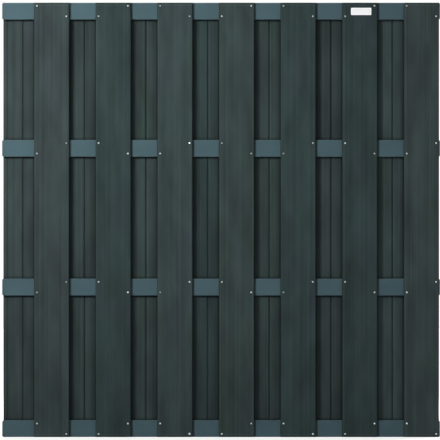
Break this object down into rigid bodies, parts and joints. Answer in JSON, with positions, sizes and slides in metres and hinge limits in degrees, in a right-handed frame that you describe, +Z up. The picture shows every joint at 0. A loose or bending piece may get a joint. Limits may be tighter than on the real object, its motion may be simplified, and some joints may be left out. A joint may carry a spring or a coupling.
{
  "type": "composite fence panel",
  "caption": "Staggered fence panel with upright grooved composite boards screwed to both faces of hollow metal rails that end in plastic caps.",
  "frame": {"origin": "middle of the bottom edge, halfway through the depth", "axes": "+X along the rails, to the right as seen from the front; +Y from the front to the rear; +Z up"},
  "size_m": [1.805, 0.0504, 1.79],
  "materials": {
    "board": "wood and plastic composite, slate grey, brushed lengthwise",
    "rail": "powder coated aluminium, blue grey, satin",
    "cap": "moulded plastic in the colour of the rails",
    "screw": "stainless, satin",
    "label": "blank white plate"
  },
  "bodies": {
    "root": {"bottom_left_cap": "cap", "bottom_rail": "rail", "bottom_right_cap": "cap", "front_board_1": "board", "front_board_2": "board", "front_board_3": "board", "front_board_4": "board", "front_board_5": "board", "front_board_6": "board", "front_board_7": "board", "front_screws_1": "screw", "front_screws_2": "screw", "front_screws_3": "screw", "front_screws_4": "screw", "front_screws_5": "screw", "front_screws_6": "screw", "front_screws_7": "screw", "label_plate": "label", "lower_left_cap": "cap", "lower_rail": "rail", "lower_right_cap": "cap", "rear_board_1": "board", "rear_board_2": "board", "rear_board_3": "board", "rear_board_4": "board", "rear_board_5": "board", "rear_board_6": "board", "rear_board_7": "board", "rear_screws_1": "screw", "rear_screws_2": "screw", "rear_screws_3": "screw", "rear_screws_4": "screw", "rear_screws_5": "screw", "rear_screws_6": "screw", "rear_screws_7": "screw", "top_left_cap": "cap", "top_rail": "rail", "top_right_cap": "cap", "upper_left_cap": "cap", "upper_rail": "rail", "upper_right_cap": "cap"}
  },
  "joints": []
}
